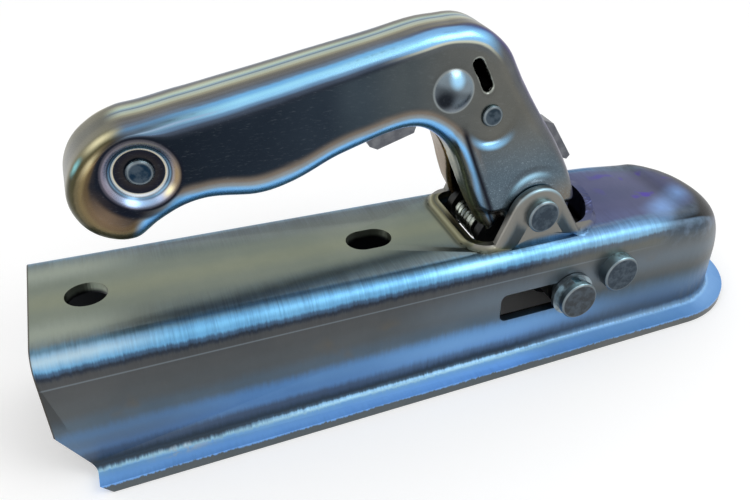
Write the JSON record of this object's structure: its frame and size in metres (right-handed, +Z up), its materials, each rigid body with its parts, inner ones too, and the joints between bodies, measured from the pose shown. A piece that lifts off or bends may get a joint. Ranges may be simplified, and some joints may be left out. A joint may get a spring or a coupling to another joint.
{
  "type": "trailer coupler",
  "caption": "Pressed steel trailer coupler with a lever, a safety catch and a ball claw, for a 50 mm ball and a 50 mm square drawbar.",
  "frame": {"origin": "centre of the 50 mm ball when it sits in the socket", "axes": "+X towards the rounded nose, +Z up out of the roof, the coupler is symmetrical about Y = 0"},
  "size_m": [0.2905, 0.0756, 0.1355],
  "materials": {
    "zinc_housing": "satin blue-passivated zinc plating",
    "zinc_lever": "bright blue-passivated zinc plating",
    "zinc_catch": "satin zinc plating",
    "zinc_pins": "dull zinc plating",
    "zinc_washers": "satin zinc plating",
    "inner_steel": "greased bare steel",
    "spring_wire": "drawn spring wire"
  },
  "bodies": {
    "housing": {"coupler_housing": "zinc_housing", "pivot_rivet": "zinc_pins", "front_rivet": "zinc_pins", "front_sleeves": "inner_steel"},
    "lever": {"lever_shell": "zinc_lever", "grip_rivet": "zinc_pins", "grip_spacer": "inner_steel", "catch_rivet": "zinc_pins", "catch_spacers": "inner_steel", "drive_plate_left": "inner_steel", "drive_plate_right": "inner_steel", "pivot_sleeve": "inner_steel", "spring_post": "inner_steel", "lever_spring": "spring_wire"},
    "catch": {"safety_catch": "zinc_catch"},
    "slider": {"slide_pin": "zinc_pins", "slide_washers": "zinc_washers", "slide_collars": "zinc_washers", "slide_sleeves": "inner_steel", "thrust_roller": "inner_steel"},
    "claw": {"ball_claw": "inner_steel", "claw_spring": "spring_wire"}
  },
  "joints": [
    {"name": "lever_swing", "type": "hinge", "parent": "housing", "child": "lever", "pos_m": [-0.0793, 0, 0.0418], "axis": [0, 1, 0], "range_deg": [0, 38], "stiffness_Nm_per_rad": 0.8, "springref_deg": -34.38},
    {"name": "catch_squeeze", "type": "hinge", "parent": "lever", "child": "catch", "pos_m": [-0.0983, 0, 0.0796], "axis": [0, 1, 0], "range_deg": [0, 8], "stiffness_Nm_per_rad": 0.12, "springref_deg": -17.19},
    {"name": "slide_pin_travel", "type": "slide", "parent": "housing", "child": "slider", "axis": [-1, 0, 0], "range_m": [0, 0.026]},
    {"name": "claw_swing", "type": "hinge", "parent": "housing", "child": "claw", "pos_m": [-0.0423, 0, 0.0111], "axis": [0, 1, 0], "range_deg": [0, 24.5]}
  ],
  "couplings": [
    {"joint": "slide_pin_travel", "follows": "lever_swing", "m_per_rad": 0.0392},
    {"joint": "claw_swing", "follows": "lever_swing", "ratio": 0.6447}
  ]
}
